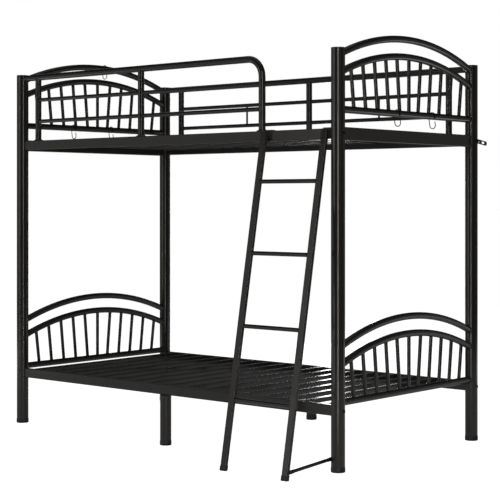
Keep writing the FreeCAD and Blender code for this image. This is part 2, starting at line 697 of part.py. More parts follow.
def wire_hooks():
    """The five hanging hooks: two on each upper base tube and one on the left top arch."""
    base = UPPER_PANEL["base"]
    drop = ARCH_RADIUS - math.sqrt(ARCH_RADIUS ** 2 - ARCH_HOOK_Y ** 2)
    places = {
        "right_front": (POST_X, RIGHT_HOOKS_Y[0], base),
        "right_back": (POST_X, RIGHT_HOOKS_Y[1], base),
        "left_front": (-POST_X, LEFT_HOOKS_Y[0], base),
        "left_back": (-POST_X, LEFT_HOOKS_Y[1], base),
        "left_arch": (-POST_X, ARCH_HOOK_Y, UPPER_PANEL["apex"] - drop),
    }
    return {"hook_" + name: [wire_hook(*place)] for name, place in places.items()}


def wall_anchor():
    """A flat strap with a hole and a slot, hung on the bolt of the back right corner."""
    x = POST_X + POST_RADIUS + SPACER
    z = UPPER_DECK_TOP - RAIL_HEIGHT / 2
    span = (x, x + STRAP_THICKNESS)

    def disc(y, radius):
        return rod(V(x, y, 0), V(x + STRAP_THICKNESS, y, 0), radius)

    hole, hole_at = STRAP_HOLE
    slot, *slot_ends = STRAP_SLOT
    shape = block(span, (0, STRAP_REACH), about(0, STRAP_WIDTH))
    shape = shape.fuse([disc(y, STRAP_WIDTH / 2) for y in (0, STRAP_REACH)])
    shape = shape.cut([disc(y, slot / 2) for y in slot_ends])
    shape = shape.cut(block(span, slot_ends, about(0, slot)))
    shape = shape.cut([disc(hole_at, hole / 2), disc(0, BOLT_DIAMETER / 2 + HOLE_CLEARANCE)])
    shape = shape.removeSplitter()
    shape.rotate(V(0, 0, 0), X_AXIS, -STRAP_DROOP)
    shape.translate(V(0, POST_Y, z))
    return one_solid(shape)


# ---- the whole bed ------------------------------------------------------------------------
def build():
    nodes = {"post_" + name: [post(name)] for name in POST_CENTRES}
    nodes["post_caps"] = post_caps()
    nodes["feet"] = feet()
    for side in SIDES:
        nodes["middle_leg_" + side] = [middle_leg(side)]
    nodes["middle_leg_caps"] = middle_leg_caps()
    nodes["middle_leg_bolts"] = middle_leg_bolts()
    for level, panel in (("upper", UPPER_PANEL), ("lower", LOWER_PANEL)):
        for end, x in (("left", -POST_X), ("right", POST_X)):
            for piece, solids in end_panel(x, panel).items():
                nodes["_".join((level, end, piece))] = solids
    nodes["upper_left_end_beam"] = [end_beam(-POST_X)]
    nodes["upper_right_end_beam"] = [end_beam(POST_X)]
    for deck in DECKS:
        for side in SIDES:
            nodes["_".join((deck, side, "side_rail"))] = [side_rail(deck, side)]
        nodes[deck + "_slats"] = slats(deck)
    nodes["rail_inserts"] = rail_inserts()
    nodes["rail_bolts"] = rail_bolts()

    edges = front_guard_edges()
    front_top = coped(swept(edges, FRAME_RADIUS, FRAME_WALL), POSTS_FILLED)
    back_ends = (V(-POST_X, POST_Y, GUARD_TOP), V(POST_X, POST_Y, GUARD_TOP))
    back_top = coped(tube(back_ends[0], back_ends[1], FRAME_RADIUS, FRAME_WALL), POSTS_FILLED)
    tools = {"front": swept(edges, FRAME_RADIUS + WELD_GAP),
             "back": rod(back_ends[0], back_ends[1], FRAME_RADIUS + WELD_GAP)}
    nodes["front_guard_rail"] = [front_top]
    nodes["back_guard_rail"] = [back_top]
    nodes["front_guard_stiles"] = [guard_stile(x, "front", tools["front"]) for x in FRONT_STILES_X]
    nodes["back_guard_stiles"] = [guard_stile(x, "back", tools["back"]) for x in BACK_STILES_X]
    nodes["front_guard_thin_rails"] = thin_rails("front", FRONT_THIN_RAILS_Z)
    nodes["back_guard_thin_rails"] = thin_rails("back", BACK_THIN_RAILS_Z)
    nodes["back_guard_rods"] = thin_rods()
    nodes["guard_foot_plates"] = guard_plates()
    nodes["guard_screws"] = guard_screws()

    nodes["ladder_stile_left"] = [ladder_stile(LADDER_STILES_X[0], False)]
    nodes["ladder_stile_right"] = [ladder_stile(LADDER_STILES_X[1], True)]
    nodes["ladder_rungs"] = ladder_rungs()
    nodes["ladder_hooks"] = ladder_hooks()
    nodes["ladder_feet"] = ladder_feet()
    nodes["ladder_plugs"] = ladder_plugs()
    nodes["ladder_stay_stud"] = [ladder_stay_stud()]
    nodes["stay_bar"] = [stay_bar()]
    nodes["stay_post_bolt"] = [stay_post_bolt()]

    nodes["wall_anchor_strap"] = [wall_anchor()]
    nodes.update(wire_hooks())
    return nodes


def export(nodes):
    """Shift everything over the origin and write one STEP file for each node."""
    os.makedirs("parts", exist_ok=True)
    boxes = [solid.optimalBoundingBox(False, False)
             for solids in nodes.values() for solid in solids]
    box = boxes[0]
    for other in boxes[1:]:
        box.add(other)
    shift = V(-box.Center.x, -box.Center.y, -box.ZMin)
    print("shift %.3f %.3f %.3f" % (shift.x, shift.y, shift.z))
    print("size %.1f %.1f %.1f" % (box.XLength, box.YLength, box.ZLength))
    for name, solids in nodes.items():
        shape = Part.makeCompound(solids) if len(solids) > 1 else solids[0]
        shape.translate(shift)
        if not shape.isValid():
            raise ValueError("the shape of " + name + " is not valid")
        shape.exportStep("parts/" + name + ".step")
        print("%-26s %2d solids %9.1f cm3" % (name, len(shape.Solids), shape.Volume / 1000))
    print(len(nodes), "nodes")


export(build())
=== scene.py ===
# %% [markdown]
# # A black steel bunk bed, finished in Blender
# The bed's tubes, decks, ladder and hardware come from the CAD model and are already the right
# size. This lesson adds what a drawing leaves out: the powder coat, the moulded plastic ends,
# the weld beads that join one tube to the next, and the light that lets black steel show its
# shape. Everything is in metres. +X runs along the bed towards the ladder's end, +Y from the
# ladder's side to the wall, and +Z is up.

# %% The frame
import json
import math
import random

import bpy
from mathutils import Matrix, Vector


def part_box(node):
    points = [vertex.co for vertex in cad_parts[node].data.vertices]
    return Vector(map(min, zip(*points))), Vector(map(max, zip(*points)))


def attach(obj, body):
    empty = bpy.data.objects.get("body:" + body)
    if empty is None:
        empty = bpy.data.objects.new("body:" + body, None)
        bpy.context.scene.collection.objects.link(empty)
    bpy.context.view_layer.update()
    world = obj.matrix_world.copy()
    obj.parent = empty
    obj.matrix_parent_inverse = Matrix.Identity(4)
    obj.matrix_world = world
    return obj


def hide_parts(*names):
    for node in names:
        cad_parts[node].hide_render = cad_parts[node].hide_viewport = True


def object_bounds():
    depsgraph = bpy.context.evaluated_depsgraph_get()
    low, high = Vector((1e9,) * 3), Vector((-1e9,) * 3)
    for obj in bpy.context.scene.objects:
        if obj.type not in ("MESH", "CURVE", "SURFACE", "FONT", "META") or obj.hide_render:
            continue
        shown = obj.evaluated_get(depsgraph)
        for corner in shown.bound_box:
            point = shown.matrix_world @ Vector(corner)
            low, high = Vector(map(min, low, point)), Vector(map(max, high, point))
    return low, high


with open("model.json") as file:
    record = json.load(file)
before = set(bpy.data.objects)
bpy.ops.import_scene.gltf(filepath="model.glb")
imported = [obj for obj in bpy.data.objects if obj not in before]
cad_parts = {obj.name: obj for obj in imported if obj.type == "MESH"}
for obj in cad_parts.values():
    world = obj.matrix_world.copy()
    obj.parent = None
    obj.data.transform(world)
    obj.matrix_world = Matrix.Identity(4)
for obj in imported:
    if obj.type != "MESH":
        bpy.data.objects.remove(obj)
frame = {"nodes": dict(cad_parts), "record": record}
cad_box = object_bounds()
MM = 0.001

# %% [markdown]
# The four corner posts are the best place to measure from: their middle is the middle of the
# bed, and every welded joint is a known distance from one of their axes. From here on, places
# are written in millimetres from that middle, as on the workshop drawing, and one function
# turns them into metres in the frame.

# %% Where the bed stands
def box_of(node):
    """A CAD node's lowest corner, highest corner and middle."""
    low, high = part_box(node)
    return low, high, (low + high) / 2


CORNERS = ("front_left", "back_left", "front_right", "back_right")
POST_AXES = {corner: box_of("post_" + corner)[2] for corner in CORNERS}
BED = sum(POST_AXES.values(), Vector()) / len(POST_AXES)
BED.z = cad_box[0].z


def at(x, y, z):
    """A place measured in millimetres from the bed's middle, on the floor."""
    return BED + Vector((x, y, z)) * MM


left_low, left_high, left_middle = box_of("post_front_left")
POST_RADIUS = (left_high.x - left_low.x) / 2 / MM
POST_X = (BED.x - left_middle.x) / MM
POST_Y = (BED.y - left_middle.y) / MM
POST_TOP = (box_of("post_caps")[1].z - BED.z) / MM
print("posts: radius %.2f, %.1f and %.1f from the middle, top %.1f mm"
      % (POST_RADIUS, POST_X, POST_Y, POST_TOP))

# %% [markdown]
# ## The camera
# A product picture of a tall piece of furniture is taken from a distance with a long lens, and
# with the camera level, so that the posts stay upright in the picture. Tilting the camera would
# make them lean. A level camera is aimed up or down with the lens's vertical shift instead.

# %% Camera
SENSOR_WIDTH = 36.0
LENS = 101.39
LENS_RISE = -0.0996
CAMERA_PLACE = (4445, -5056, 1102)
LEVEL = math.radians(90)
TURN = math.radians(40.846)

camera_data = bpy.data.cameras.new("camera")
camera_data.sensor_width = SENSOR_WIDTH
camera_data.lens = LENS
camera_data.shift_y = LENS_RISE
camera = bpy.data.objects.new("camera", camera_data)
camera.location = at(*CAMERA_PLACE)
camera.rotation_euler = (LEVEL, 0, TURN)
bpy.context.scene.collection.objects.link(camera)
bpy.context.scene.camera = camera
bpy.context.scene.view_settings.view_transform = "Standard"
print("camera height:", round(camera.location.z, 3), "lens:", camera_data.lens)

# %% [markdown]
# ## The studio
# Black paint has almost no colour of its own: what the eye reads is the reflection of the
# lights. Two tall narrow strips draw the bright upright lines on the posts. Large dim panels
# give the flat faces their even tone, the left one brighter than the right one, so that two
# faces of one tube differ. Sheets lying on the floor stand for the light that a pale floor
# throws back: they keep the posts' feet from going black, and draw the thin line along the
# rails' lower edges. Each light's brightness is given as its face looks, and a brightness of 1
# is that of the white backdrop.

# %% Lights
def softbox(name, place, size, brightness, aim=(0, 0, 1.0)):
    """A glowing panel; place and aim are in metres from the bed's middle."""
    data = bpy.data.lights.new(name, "AREA")
    data.shape = "RECTANGLE"
    data.size, data.size_y = size
    data.energy = brightness * math.pi * size[0] * size[1]
    light = bpy.data.objects.new(name, data)
    light.location = BED + Vector(place)
    light.rotation_euler = (Vector(aim) - Vector(place)).to_track_quat("-Z", "Y").to_euler()
    light.visible_camera = False
    bpy.context.scene.collection.objects.link(light)
    print(name, "power in watts:", round(data.energy, 1))


softbox("left_strip", (-1.4, -4.5, 1.2), (0.22, 3.0), 8.0, aim=(0, 0, 1.2))
softbox("right_strip", (2.12, -2.01, 1.2), (0.10, 2.6), 20.0, aim=(0, 0, 1.2))
softbox("back_strip", (-2.2, 3.6, 1.2), (0.15, 2.8), 8.0, aim=(0, 0, 1.2))
softbox("left_panel", (-5.0, -5.0, 1.9), (7.0, 3.5), 0.42)
softbox("right_panel", (5.2, -3.2, 2.6), (3.5, 3.0), 0.16)
softbox("back_right_panel", (4.0, 4.6, 1.8), (5.0, 3.0), 0.15)
softbox("back_left_panel", (-4.6, 4.8, 3.4), (5.0, 2.4), 0.40)
softbox("overhead_panel", (0, 0, 5.0), (5.0, 4.0), 0.30, aim=(0, 0.01, 0))
FLOOR_SHEETS = {
    "front_bounce": ((0, -2.43, 0.004), (7.0, 3.74), 0.42),
    "back_bounce": ((0, 2.48, 0.004), (7.0, 3.84), 0.42),
    "left_bounce": ((-2.67, 0, 0.004), (3.26, 1.12), 0.42),
    "right_bounce": ((2.67, 0, 0.004), (3.26, 1.12), 0.42),
    "under_bounce": ((0, 0, 0.004), (2.06, 1.12), 0.30),
    "left_glint": ((-3.4, -1.5, 0.04), (1.6, 2.4), 1.2),
    "right_glint": ((2.4, 3.2, 0.04), (1.8, 2.4), 1.0),
}
for name, (place, size, brightness) in FLOOR_SHEETS.items():
    softbox(name, place, size, brightness, aim=(place[0], place[1] + 0.01, 3))

# %% [markdown]
# One small function adds a shader node, sets it up and links it. A colour is written as the
# sRGB hex value that a paint chart gives, and another function turns it into the linear
# numbers that the renderer needs. A pattern's scale is worked out from its real size.

# %% Node and colour helpers
def linear(hex_code):
    """An sRGB hex colour as linear red, green, blue and alpha."""
    shares = [int(hex_code[place:place + 2], 16) / 255 for place in (1, 3, 5)]
    return [share / 12.92 if share <= 0.04045 else ((share + 0.055) / 1.055) ** 2.4
            for share in shares] + [1.0]


def add(tree, kind, inputs=(), **settings):
    """Add a node; each input is a value, or the output socket to link to it."""
    made = tree.nodes.new(kind)
    for name, value in settings.items():
        setattr(made, name, value)
    for name, value in dict(inputs).items():
        if isinstance(value, bpy.types.NodeSocket):
            tree.links.new(value, made.inputs[name])
        else:
            made.inputs[name].default_value = value
    return made


def cells(size_mm):
    """The texture scale that makes one cell of a pattern this many millimetres wide."""
    return 1 / (size_mm * MM)


def new_material(name):
    """An empty material and its node tree."""
    material = bpy.data.materials.new(name)
    material.use_nodes = True
    material.node_tree.nodes.clear()
    return material, material.node_tree


# %% [markdown]
# The backdrop is a roll of white paper far behind the bed. It looks white, but lights the bed
# only a little: a bright world all round would turn black paint grey. The floor is the same
# paper, lit from below so that it stays as pale as the backdrop, and the bed's own shadows
# barely mark it.

# %% Backdrop and floor
BACKDROP_SEEN = 1.0
BACKDROP_LIGHT = 0.03
world = bpy.data.worlds.new("studio_backdrop")
bpy.context.scene.world = world
world.use_nodes = True
world.node_tree.nodes.clear()
ray = add(world.node_tree, "ShaderNodeLightPath")
strength = add(world.node_tree, "ShaderNodeMapRange", {
    "Value": ray.outputs["Is Camera Ray"], "To Min": BACKDROP_LIGHT, "To Max": BACKDROP_SEEN})
paper = add(world.node_tree, "ShaderNodeBackground", {
    "Color": linear("#ffffff"), "Strength": strength.outputs["Result"]})
add(world.node_tree, "ShaderNodeOutputWorld", {"Surface": paper.outputs["Background"]})

FLOOR_SIZE = 200.0
FLOOR_GLOW = 0.985
bpy.ops.object.select_all(action="DESELECT")
bpy.ops.mesh.primitive_plane_add(size=FLOOR_SIZE, location=BED)
floor = bpy.context.object
floor.name = "floor"
floor.visible_glossy = False
floor.visible_diffuse = False
floor_finish, tree = new_material("glowing_white_studio_paper")
sheet = add(tree, "ShaderNodeBsdfPrincipled", {
    "Base Color": linear("#e9e9e7"), "Roughness": 1.0, "Specular IOR Level": 0.0,
    "Emission Color": linear("#ffffff"), "Emission Strength": FLOOR_GLOW})
add(tree, "ShaderNodeOutputMaterial", {"Surface": sheet.outputs["BSDF"]})
floor.data.materials.append(floor_finish)
print("floor:", floor.name, "size in metres:", FLOOR_SIZE)

# %% [markdown]
# ## Powder coat
# The steel is sprayed with dry black polyester powder and baked, so the film flows together
# into a satin skin about a tenth of a millimetre thick. It never levels completely: it keeps a
# fine orange peel, and its gloss drifts a little from one end of a tube to the other. To the
# eye that is a very dark warm grey, highlights with soft edges, and a faint liveliness in
# them. The real peel is finer than a millimetre, so it is drawn at two to let it show. Over a
# weld bead the film pools in the ripples, so the same paint there is smoother and wavier.

# %% Powder-coated steel
GLOSS_DRIFT_MM = 160.0
SPECK_MM = 0.9


def powder_coat(name, colours, gloss, peel_mm, peel_depth_mm):
    """A baked film of powder; gloss is its least and greatest roughness."""
    material, tree = new_material(name)
    place = add(tree, "ShaderNodeTexCoord").outputs["Object"]
    drift = add(tree, "ShaderNodeTexNoise", {
        "Vector": place, "Scale": cells(GLOSS_DRIFT_MM), "Detail": 4.0})
    peel = add(tree, "ShaderNodeTexNoise", {
        "Vector": place, "Scale": cells(peel_mm), "Detail": 2.0, "Roughness": 0.4})
    speck = add(tree, "ShaderNodeTexNoise", {
        "Vector": place, "Scale": cells(SPECK_MM), "Detail": 1.0})
    shade = add(tree, "ShaderNodeMapRange", {
        "Value": speck.outputs["Fac"], "From Min": 0.35, "From Max": 0.65})
    film = add(tree, "ShaderNodeMixRGB", {
        "Fac": shade.outputs["Result"], "Color1": linear(colours[0]),
        "Color2": linear(colours[1])})
    roughness = add(tree, "ShaderNodeMapRange", {
        "Value": drift.outputs["Fac"], "From Min": 0.35, "From Max": 0.65,
        "To Min": gloss[0], "To Max": gloss[1]})
    bump = add(tree, "ShaderNodeBump", {
        "Height": peel.outputs["Fac"], "Distance": peel_depth_mm * MM, "Strength": 1.0})
    coat = add(tree, "ShaderNodeBsdfPrincipled", {
        "Base Color": film.outputs["Color"], "Roughness": roughness.outputs["Result"],
        "Normal": bump.outputs["Normal"], "IOR": 1.5})
    add(tree, "ShaderNodeOutputMaterial", {"Surface": coat.outputs["BSDF"]})
    return material


STEEL_COAT = powder_coat("satin_black_powder_coated_steel", ("#211f1c", "#2b2824"),
                         (0.15, 0.22), peel_mm=2.0, peel_depth_mm=0.012)
WELD_COAT = powder_coat("powder_coated_weld_bead", ("#1d1b19", "#262320"),
                        (0.13, 0.20), peel_mm=4.0, peel_depth_mm=0.10)
print("finishes:", STEEL_COAT.name, WELD_COAT.name)

# %% [markdown]
# ## Moulded plastic
# The post caps, foot cups, stile plugs and ladder shoes are injection-moulded polypropylene,
# coloured through with carbon black. The mould is spark-eroded, which leaves a fine even grain
# and a dull skin, a little bluer than the warm paint beside it. The melt cools unevenly, so
# there are broad cloudy patches that shine slightly more. The grain is really a tenth of a
# millimetre, and is drawn at half a millimetre so that it can be seen.

# %% Moulded polypropylene
GRAIN_MM = 0.5
GRAIN_DEPTH_MM = 0.02
FLOW_MM = 14.0
PLASTIC, tree = new_material("injection_moulded_black_polypropylene")
place = add(tree, "ShaderNodeTexCoord").outputs["Object"]
grain = add(tree, "ShaderNodeTexNoise", {
    "Vector": place, "Scale": cells(GRAIN_MM), "Detail": 2.0})
flow = add(tree, "ShaderNodeTexNoise", {
    "Vector": place, "Scale": cells(FLOW_MM), "Detail": 3.0, "Distortion": 0.6})
tone = add(tree, "ShaderNodeMixRGB", {
    "Fac": flow.outputs["Fac"], "Color1": linear("#161617"), "Color2": linear("#222223")})
dullness = add(tree, "ShaderNodeMapRange", {
    "Value": flow.outputs["Fac"], "From Min": 0.3, "From Max": 0.7,
    "To Min": 0.42, "To Max": 0.55})
bump = add(tree, "ShaderNodeBump", {
    "Height": grain.outputs["Fac"], "Distance": GRAIN_DEPTH_MM * MM, "Strength": 0.8})
skin = add(tree, "ShaderNodeBsdfPrincipled", {
    "Base Color": tone.outputs["Color"], "Roughness": dullness.outputs["Result"],
    "Normal": bump.outputs["Normal"], "IOR": 1.49})
add(tree, "ShaderNodeOutputMaterial", {"Surface": skin.outputs["BSDF"]})
print("finish:", PLASTIC.name)

# %% [markdown]
# ## Plated metal
# The bolts and screws are zinc plated and then dipped in a black chromate, which leaves a dark
# metal with a faint olive and violet bloom in patches. The threaded inserts keep the bright
# zinc, with fine rings from turning. The hanging hooks are spring wire, drawn through a die
# and nickel plated, so they carry faint lines along the wire and a dark silver shine. All
# three are one shader with different colours and grain: a metal, so its colour is the colour
# of its reflections.

# %% Plated metals
def plated_metal(name, colours, bloom_mm, shine, lines, depth_mm):
    """A thin metal plating; lines are the widths in mm of its grain along X, Y and Z."""
    material, tree = new_material(name)
    place = add(tree, "ShaderNodeTexCoord").outputs["Object"]
    bloom = add(tree, "ShaderNodeTexNoise", {
        "Vector": place, "Scale": cells(bloom_mm), "Detail": 3.0})
    tint = add(tree, "ShaderNodeMixRGB", {
        "Fac": bloom.outputs["Fac"], "Color1": linear(colours[0]),
        "Color2": linear(colours[1])})
    stretch = add(tree, "ShaderNodeMapping", {
        "Vector": place, "Scale": [cells(width) for width in lines]})
    grain = add(tree, "ShaderNodeTexNoise", {
        "Vector": stretch.outputs["Vector"], "Scale": 1.0, "Detail": 2.0})
    roughness = add(tree, "ShaderNodeMapRange", {
        "Value": grain.outputs["Fac"], "From Min": 0.3, "From Max": 0.7,
        "To Min": shine[0], "To Max": shine[1]})
    bump = add(tree, "ShaderNodeBump", {
        "Height": grain.outputs["Fac"], "Distance": depth_mm * MM, "Strength": 0.6})
    metal = add(tree, "ShaderNodeBsdfPrincipled", {
        "Base Color": tint.outputs["Color"], "Roughness": roughness.outputs["Result"],
        "Normal": bump.outputs["Normal"], "Metallic": 1.0})
    add(tree, "ShaderNodeOutputMaterial", {"Surface": metal.outputs["BSDF"]})
    return material


BLACK_ZINC = plated_metal("black_chromated_zinc_plate", ("#2e2d27", "#34303a"), 6.0,
                          (0.28, 0.40), lines=(0.6, 0.6, 0.6), depth_mm=0.01)
BRIGHT_ZINC = plated_metal("bright_zinc_plate", ("#a9adb0", "#b9b6a8"), 8.0,
                           (0.22, 0.34), lines=(0.5, 8.0, 8.0), depth_mm=0.01)
WIRE = plated_metal("nickel_plated_spring_wire", ("#353432", "#42403d"), 10.0,
                    (0.20, 0.32), lines=(0.6, 0.6, 6.0), depth_mm=0.01)
print("finishes:", BLACK_ZINC.name, BRIGHT_ZINC.name, WIRE.name)

# %% [markdown]
# The record says which finish each CAD piece takes. A CAD piece is never reshaped here: its
# material slots are simply given the finish.

# %% Finishes on the CAD pieces
FINISHES = {
    "black_powder_coat": STEEL_COAT,
    "black_plastic": PLASTIC,
    "black_hardware": BLACK_ZINC,
    "plain_steel": BRIGHT_ZINC,
    "hook_wire": WIRE,
}


def paint(obj, finish):
    """Give an object one finish all over."""
    if not obj.material_slots:
        obj.data.materials.append(finish)
    for holder in obj.material_slots:
        holder.material = finish


for part in frame["record"]["subparts"]:
    paint(frame["nodes"][part["node"]], FINISHES[part["material_slot"]])

# %% [markdown]
# ## Working in edit mode
# Each new piece starts as a flat outline at the middle of the scene. It is extruded upwards
# step by step, and each new level is scaled in or out: the way a turner reads a profile from
# one end to the other. When the model is finished, a copy with its own mesh is put in each
# place, and its place is applied, so that the object itself stays at the origin.

# %% Modelling helpers
SMOOTH_BELOW = math.radians(35)


def start_fresh():
    """Nothing selected, so that an operator acts only on the piece in hand."""
    bpy.ops.object.select_all(action="DESELECT")


def only(obj):
    """Select one object and make it the active one."""
    start_fresh()
    obj.select_set(True)
    bpy.context.view_layer.objects.active = obj


def raise_levels(levels, lean=0.0):
    """Extrude the outline in hand through levels of (half width, half depth, height) in mm;
    lean is how far it moves along Y for each millimetre that it rises."""
    bpy.ops.object.mode_set(mode="EDIT")
    bpy.ops.mesh.select_all(action="SELECT")
    for (wide, deep, low), (new_wide, new_deep, high) in zip(levels, levels[1:]):
        rise = (high - low) * MM
        bpy.ops.mesh.extrude_region_move(
            TRANSFORM_OT_translate={"value": (0, lean * rise, rise)})
        bpy.ops.transform.resize(value=(new_wide / wide, new_deep / deep, 1),
                                 center_override=(0, lean * high * MM, 0))
    bpy.ops.mesh.select_all(action="SELECT")
    bpy.ops.mesh.normals_make_consistent(inside=False)
    bpy.ops.object.mode_set(mode="OBJECT")
    bpy.ops.object.shade_smooth_by_angle(angle=SMOOTH_BELOW)
    return bpy.context.object


def placed(model, name, place, body, finish):
    """A copy of a finished model with its own mesh, put in its place and applied there."""
    piece = model.copy()
    piece.data = model.data.copy()
    piece.name = name
    bpy.context.scene.collection.objects.link(piece)
    only(piece)
    piece.location = place
    bpy.ops.object.transform_apply(location=True, rotation=True, scale=True)
    paint(piece, finish)
    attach(piece, body)
    return piece


def discard(model):
    """Delete a model once its copies are placed."""
    bpy.data.objects.remove(model, do_unlink=True)


# %% [markdown]
# ## Post caps
# Each post is open at its top, so a moulded cap is pressed in: a spigot that fills the bore,
# and a thin domed disc the width of the tube with a soft edge, so that no hand meets cut
# steel. A small dimple in the middle is where the plastic entered the mould. It could be a
# squashed sphere, but the rim's shape matters most, so it is raised level by level.

# %% Post caps
ROUND_SIDES = 64
CAP_THICKNESS = 3.0
CAP_LEVELS_BELOW_RIM = ((26.2, -12.0), (27.2, -11.0), (27.2, 0.0))
CAP_LEVELS_ABOVE_RIM = ((0.0, 0.0), (0.0, 1.7), (0.25, 2.2), (0.95, 2.5), (3.5, 2.68), (9.0, 2.86),
                        (18.0, 2.98), (24.5, 3.0), (25.0, 2.82), (26.2, 2.78))


def round_levels(pairs):
    """Levels with the same half width and half depth."""
    return [(radius, radius, height) for radius, height in pairs]


start_fresh()
bpy.ops.mesh.primitive_circle_add(vertices=ROUND_SIDES, radius=CAP_LEVELS_BELOW_RIM[0][0] * MM,
                                  fill_type="NGON", location=(0, 0, CAP_LEVELS_BELOW_RIM[0][1] * MM))
bpy.ops.object.transform_apply(location=True)
cap_levels = CAP_LEVELS_BELOW_RIM + tuple((POST_RADIUS - inset, height)
                                          for inset, height in CAP_LEVELS_ABOVE_RIM)
cap_model = raise_levels(round_levels(cap_levels))
for corner, axis in POST_AXES.items():
    seat = Vector((axis.x, axis.y, at(0, 0, POST_TOP - CAP_THICKNESS).z))
    cap = placed(cap_model, "moulded_cap_" + corner, seat, "bed", PLASTIC)
    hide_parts("post_caps")
discard(cap_model)
print("post caps:", len(POST_AXES), "faces each:", len(cap.data.polygons))

# %% [markdown]
# ## Foot cups
# The posts and the two middle legs stand in moulded cups, which protect the floor and hide the
# cut end. A cup is a thin wall and a thick floor, with a rounded lower edge to slide on, one
# shallow groove where the two halves of the mould's collar met, and a softened lip. Raised in
# one go from the underside, up the outside, over the lip and down the bore, it is a closed
# shape with a real wall.

# %% Foot cups
CUP_HEIGHT = 20.0
CUP_FLOOR = 4.0
CUP_WALL = 1.05
CUP_CLEARANCE = 0.05
CUP_OUTSIDE = ((2.4, 0.0), (1.5, 0.3), (0.7, 0.9), (0.2, 1.8), (0.0, 3.0), (0.0, 5.0), (0.4, 5.3),
               (0.4, 6.3), (0.0, 6.6), (0.0, 19.0), (0.15, 19.6), (0.45, 19.9), (0.7, 20.0))
LEG_LOW, LEG_HIGH, FRONT_LEG_AXIS = box_of("middle_leg_front")
BACK_LEG_AXIS = box_of("middle_leg_back")[2]
LEG_RADIUS = (LEG_HIGH.x - LEG_LOW.x) / 2 / MM


def foot_cup(tube_radius):
    """A cup for a tube of this radius, standing at the origin."""
    outside = [(tube_radius + CUP_WALL - inset, height) for inset, height in CUP_OUTSIDE]
    bore = tube_radius + CUP_CLEARANCE
    inside = [(bore, CUP_HEIGHT), (bore, CUP_FLOOR)]
    start_fresh()
    bpy.ops.mesh.primitive_circle_add(vertices=ROUND_SIDES, radius=outside[0][0] * MM,
                                      fill_type="NGON")
    return raise_levels(round_levels(outside + inside))


post_cup_model = foot_cup(POST_RADIUS)
leg_cup_model = foot_cup(LEG_RADIUS)
cup_places = [(post_cup_model, "moulded_foot_" + corner, axis)
              for corner, axis in POST_AXES.items()]
cup_places += [(leg_cup_model, "moulded_foot_middle_front", FRONT_LEG_AXIS),
               (leg_cup_model, "moulded_foot_middle_back", BACK_LEG_AXIS)]
for model, name, axis in cup_places:
    cup = placed(model, name, Vector((axis.x, axis.y, BED.z)), "bed", PLASTIC)
    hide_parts("feet")
discard(post_cup_model)
discard(leg_cup_model)
print("foot cups:", len(cup_places), "faces each:", len(cup.data.polygons))

# %% [markdown]
# ## Ladder shoes and stile plugs
# The ladder's stiles are flat tubes with rounded corners, so their plastic ends are too: a
# shoe with three tread grooves that grips the floor, and a low plug that closes each top. They
# start as a plane whose four corners are bevelled, and lean with the ladder as they rise.

# %% Ladder shoes and stile plugs
LADDER_SLOPE = 0.186
STILE_WIDTH = 30.0
STILE_DEPTH = 15.0 * math.hypot(1, LADDER_SLOPE)
STILE_CORNER = 3.0
CORNER_SEGMENTS = 6
STILE_TOP = 1392.0
STILE_TOP_Y = -526.5
STILES_X = {"left": 610.0, "right": 933.0}
SHOE_WALL = 1.57
SHOE_HEIGHT = 20.0
SHOE_FLOOR = 4.0
SHOE_OUTSIDE = [(1.3, 0.0), (0.4, 0.5), (0.0, 1.5)]
for groove in (4.0, 8.0, 12.0):
    SHOE_OUTSIDE += [(0.0, groove), (0.5, groove + 0.3), (0.5, groove + 1.2), (0.0, groove + 1.5)]
SHOE_OUTSIDE += [(0.0, 19.2), (0.3, 19.8), (0.7, 20.0)]
PLUG_LEVELS = ((1.3, -12.0), (1.3, 0.0), (0.0, 0.0), (0.0, 1.2), (0.35, 1.7), (1.0, 1.95),
               (2.2, 2.0))


def stile_y(height):
    """The middle of the stiles at a height."""
    return STILE_TOP_Y - LADDER_SLOPE * (STILE_TOP - height)


def start_rounded_plane(half_wide, half_deep, height):
    """A plane with rounded corners, at a height above the origin and shifted by the lean."""
    start_fresh()
    bpy.ops.mesh.primitive_plane_add(size=2, location=(0, LADDER_SLOPE * height * MM, height * MM))
    bpy.context.object.scale = (half_wide * MM, half_deep * MM, 1)
    bpy.ops.object.transform_apply(location=True, scale=True)
    bpy.ops.object.mode_set(mode="EDIT")
    bpy.ops.mesh.select_all(action="SELECT")
    bpy.ops.mesh.bevel(offset=STILE_CORNER * MM, segments=CORNER_SEGMENTS, affect="VERTICES")
    bpy.ops.object.mode_set(mode="OBJECT")


def stile_levels(pairs, wall):
    """Levels for something that is wall thicker than a stile; each pair is inset and height."""
    return [(STILE_WIDTH / 2 + wall - inset, STILE_DEPTH / 2 + wall - inset, height)
            for inset, height in pairs]


shoe_levels = stile_levels(SHOE_OUTSIDE, SHOE_WALL)
shoe_levels += stile_levels([(0.0, SHOE_HEIGHT), (0.0, SHOE_FLOOR)], CUP_CLEARANCE)
start_rounded_plane(*shoe_levels[0])
shoe_model = raise_levels(shoe_levels, LADDER_SLOPE)
plug_levels = stile_levels(PLUG_LEVELS, 0.0)
start_rounded_plane(*plug_levels[0])
plug_model = raise_levels(plug_levels, LADDER_SLOPE)
for side, x in STILES_X.items():
    shoe = placed(shoe_model, "moulded_shoe_" + side, at(x, stile_y(0), 0),
                  "ladder", PLASTIC)
    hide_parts("ladder_feet")
    plug = placed(plug_model, "moulded_plug_" + side, at(x, stile_y(STILE_TOP), STILE_TOP),
                  "ladder", PLASTIC)
    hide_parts("ladder_plugs")
discard(shoe_model)
discard(plug_model)
print("ladder shoe faces:", len(shoe.data.polygons), "plug faces:", len(plug.data.polygons))

